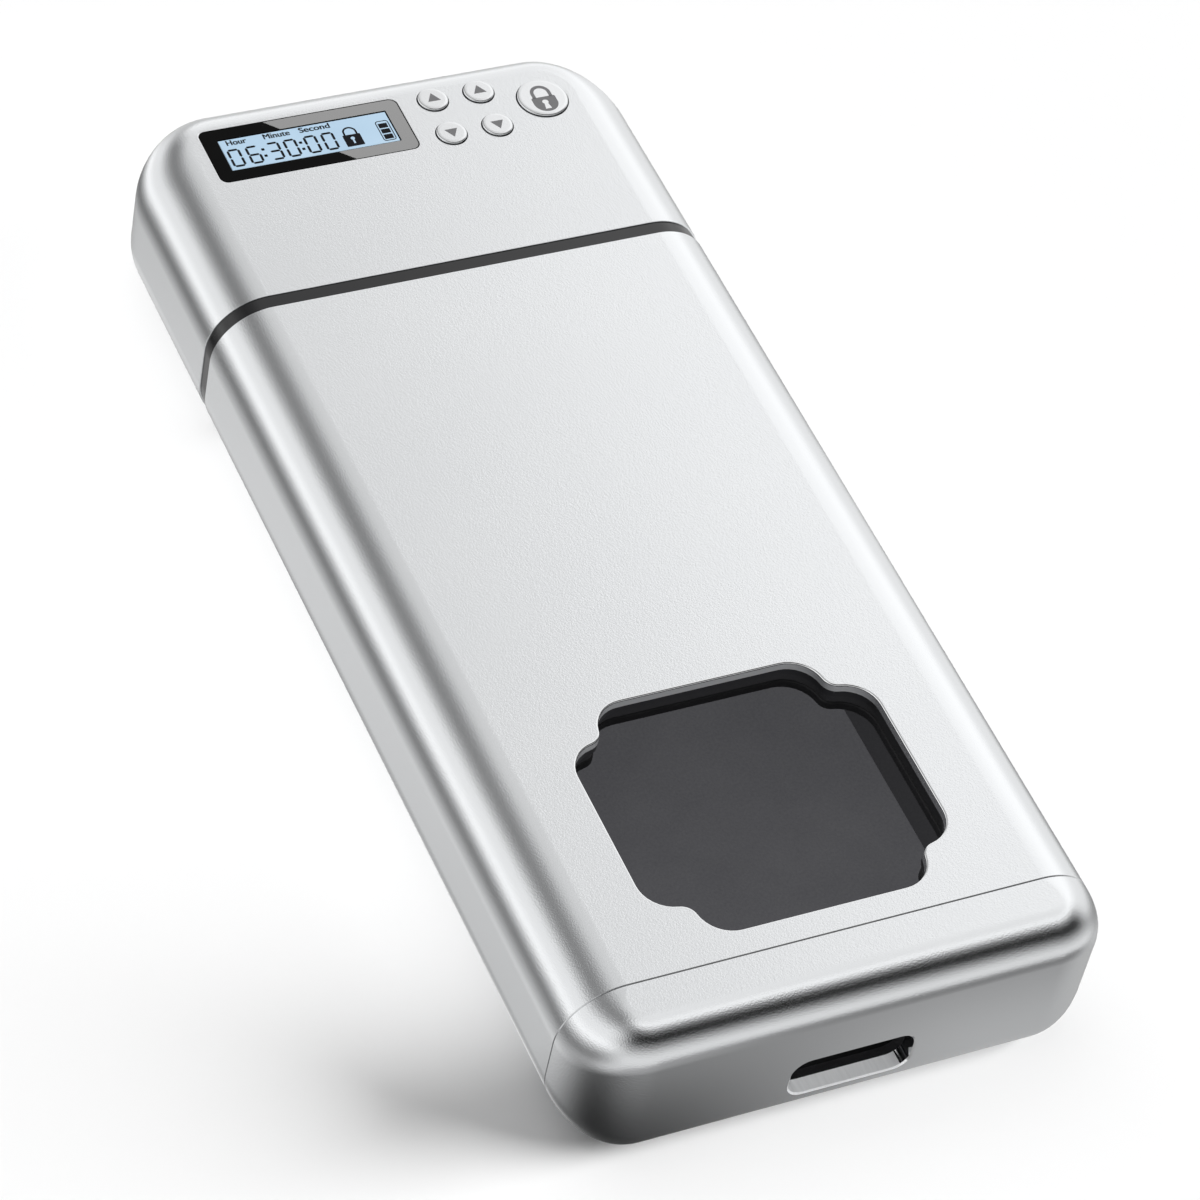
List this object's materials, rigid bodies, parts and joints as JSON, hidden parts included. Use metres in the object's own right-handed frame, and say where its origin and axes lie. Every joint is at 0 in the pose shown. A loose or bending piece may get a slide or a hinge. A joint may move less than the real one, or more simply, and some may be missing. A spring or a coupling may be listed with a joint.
{
  "type": "timed lock container",
  "caption": "Flat rounded metal case for a phone, with a notched window in its front, a charging slot in its foot and a pull-off lid with a timer display, keys and a motor latch.",
  "frame": {"origin": "middle of the flat back face, which the case lies on", "axes": "+X to the right seen from the front, +Y towards the lid end, +Z out of the front face"},
  "size_m": [0.1, 0.228, 0.032],
  "materials": {
    "satin_aluminium": "bead-blasted and clear anodised",
    "key_aluminium": "fine satin, clear anodised",
    "zinc_steel": "zinc plated",
    "motor_steel": "nickel plated",
    "bolt_steel": "ground",
    "pinion_brass": "machined",
    "black_plastic": "fine moulded texture",
    "gloss_black_plastic": "polished",
    "black_silicone": "matt",
    "grey_foam": "closed-cell foam",
    "cell_wrap": "shrink film",
    "lead_insulation": "extruded",
    "board_green": "solder mask",
    "display_glass": "lit display glass",
    "light_guide": "white"
  },
  "bodies": {
    "case": {"body_shell": "satin_aluminium", "bottom_cap": "satin_aluminium", "cap_screws": "zinc_steel", "inner_liner": "black_plastic", "window_gasket": "black_silicone", "back_pad": "grey_foam", "end_cushion": "grey_foam"},
    "lid": {"lid_shell": "satin_aluminium", "latch_collar": "gloss_black_plastic", "collar_screws": "zinc_steel", "latch_cover": "black_plastic", "cover_screws": "zinc_steel", "lid_pad": "grey_foam", "motor_gearbox": "motor_steel", "latch_motor": "motor_steel", "motor_screws": "zinc_steel", "lid_chassis": "black_plastic", "chassis_screws": "zinc_steel", "motor_clamp": "zinc_steel", "clamp_screws": "zinc_steel", "battery_cell": "cell_wrap", "battery_leads": "lead_insulation", "motor_leads": "lead_insulation", "control_board": "board_green", "board_screws": "zinc_steel", "board_chips": "black_plastic", "board_buzzer": "black_plastic", "key_switches": "black_plastic", "display_bezel": "gloss_black_plastic", "lcd_panel": "display_glass", "lcd_backlight": "light_guide", "lcd_pins": "motor_steel", "charging_socket": "motor_steel", "socket_tongue": "black_plastic"},
    "drive": {"motor_shaft": "motor_steel", "drive_pinion": "pinion_brass"},
    "right_latch": {"right_bolt": "bolt_steel"},
    "left_latch": {"left_bolt": "bolt_steel"},
    "hour_up_key": {"hour_up_button": "key_aluminium", "hour_up_plunger": "black_plastic"},
    "minute_up_key": {"minute_up_button": "key_aluminium", "minute_up_plunger": "black_plastic"},
    "hour_down_key": {"hour_down_button": "key_aluminium", "hour_down_plunger": "black_plastic"},
    "minute_down_key": {"minute_down_button": "key_aluminium", "minute_down_plunger": "black_plastic"},
    "lock_key": {"lock_button": "key_aluminium", "lock_plunger": "black_plastic"}
  },
  "joints": [
    {"name": "lid_pull_off", "type": "slide", "parent": "case", "child": "lid", "axis": [0, 1, 0], "range_m": [0, 0.2]},
    {"name": "drive_turn", "type": "hinge", "parent": "lid", "child": "drive", "pos_m": [0, 0.0568, 0.01575], "axis": [0, 1, 0], "range_deg": [0, 65.26]},
    {"name": "right_bolt_throw", "type": "slide", "parent": "lid", "child": "right_latch", "axis": [1, 0, 0], "range_m": [0, 0.0041]},
    {"name": "left_bolt_throw", "type": "slide", "parent": "lid", "child": "left_latch", "axis": [-1, 0, 0], "range_m": [0, 0.0041]},
    {"name": "hour_up_press", "type": "slide", "parent": "lid", "child": "hour_up_key", "axis": [0, 0, -1], "range_m": [0, 0.0005], "stiffness_N_per_m": 300, "springref_m": -0.001},
    {"name": "minute_up_press", "type": "slide", "parent": "lid", "child": "minute_up_key", "axis": [0, 0, -1], "range_m": [0, 0.0005], "stiffness_N_per_m": 300, "springref_m": -0.001},
    {"name": "hour_down_press", "type": "slide", "parent": "lid", "child": "hour_down_key", "axis": [0, 0, -1], "range_m": [0, 0.0005], "stiffness_N_per_m": 300, "springref_m": -0.001},
    {"name": "minute_down_press", "type": "slide", "parent": "lid", "child": "minute_down_key", "axis": [0, 0, -1], "range_m": [0, 0.0005], "stiffness_N_per_m": 300, "springref_m": -0.001},
    {"name": "lock_press", "type": "slide", "parent": "lid", "child": "lock_key", "axis": [0, 0, -1], "range_m": [0, 0.0005], "stiffness_N_per_m": 300, "springref_m": -0.001}
  ],
  "couplings": [
    {"joint": "drive_turn", "follows": "right_bolt_throw", "rad_per_m": 277.78},
    {"joint": "left_bolt_throw", "follows": "right_bolt_throw", "ratio": 1}
  ]
}
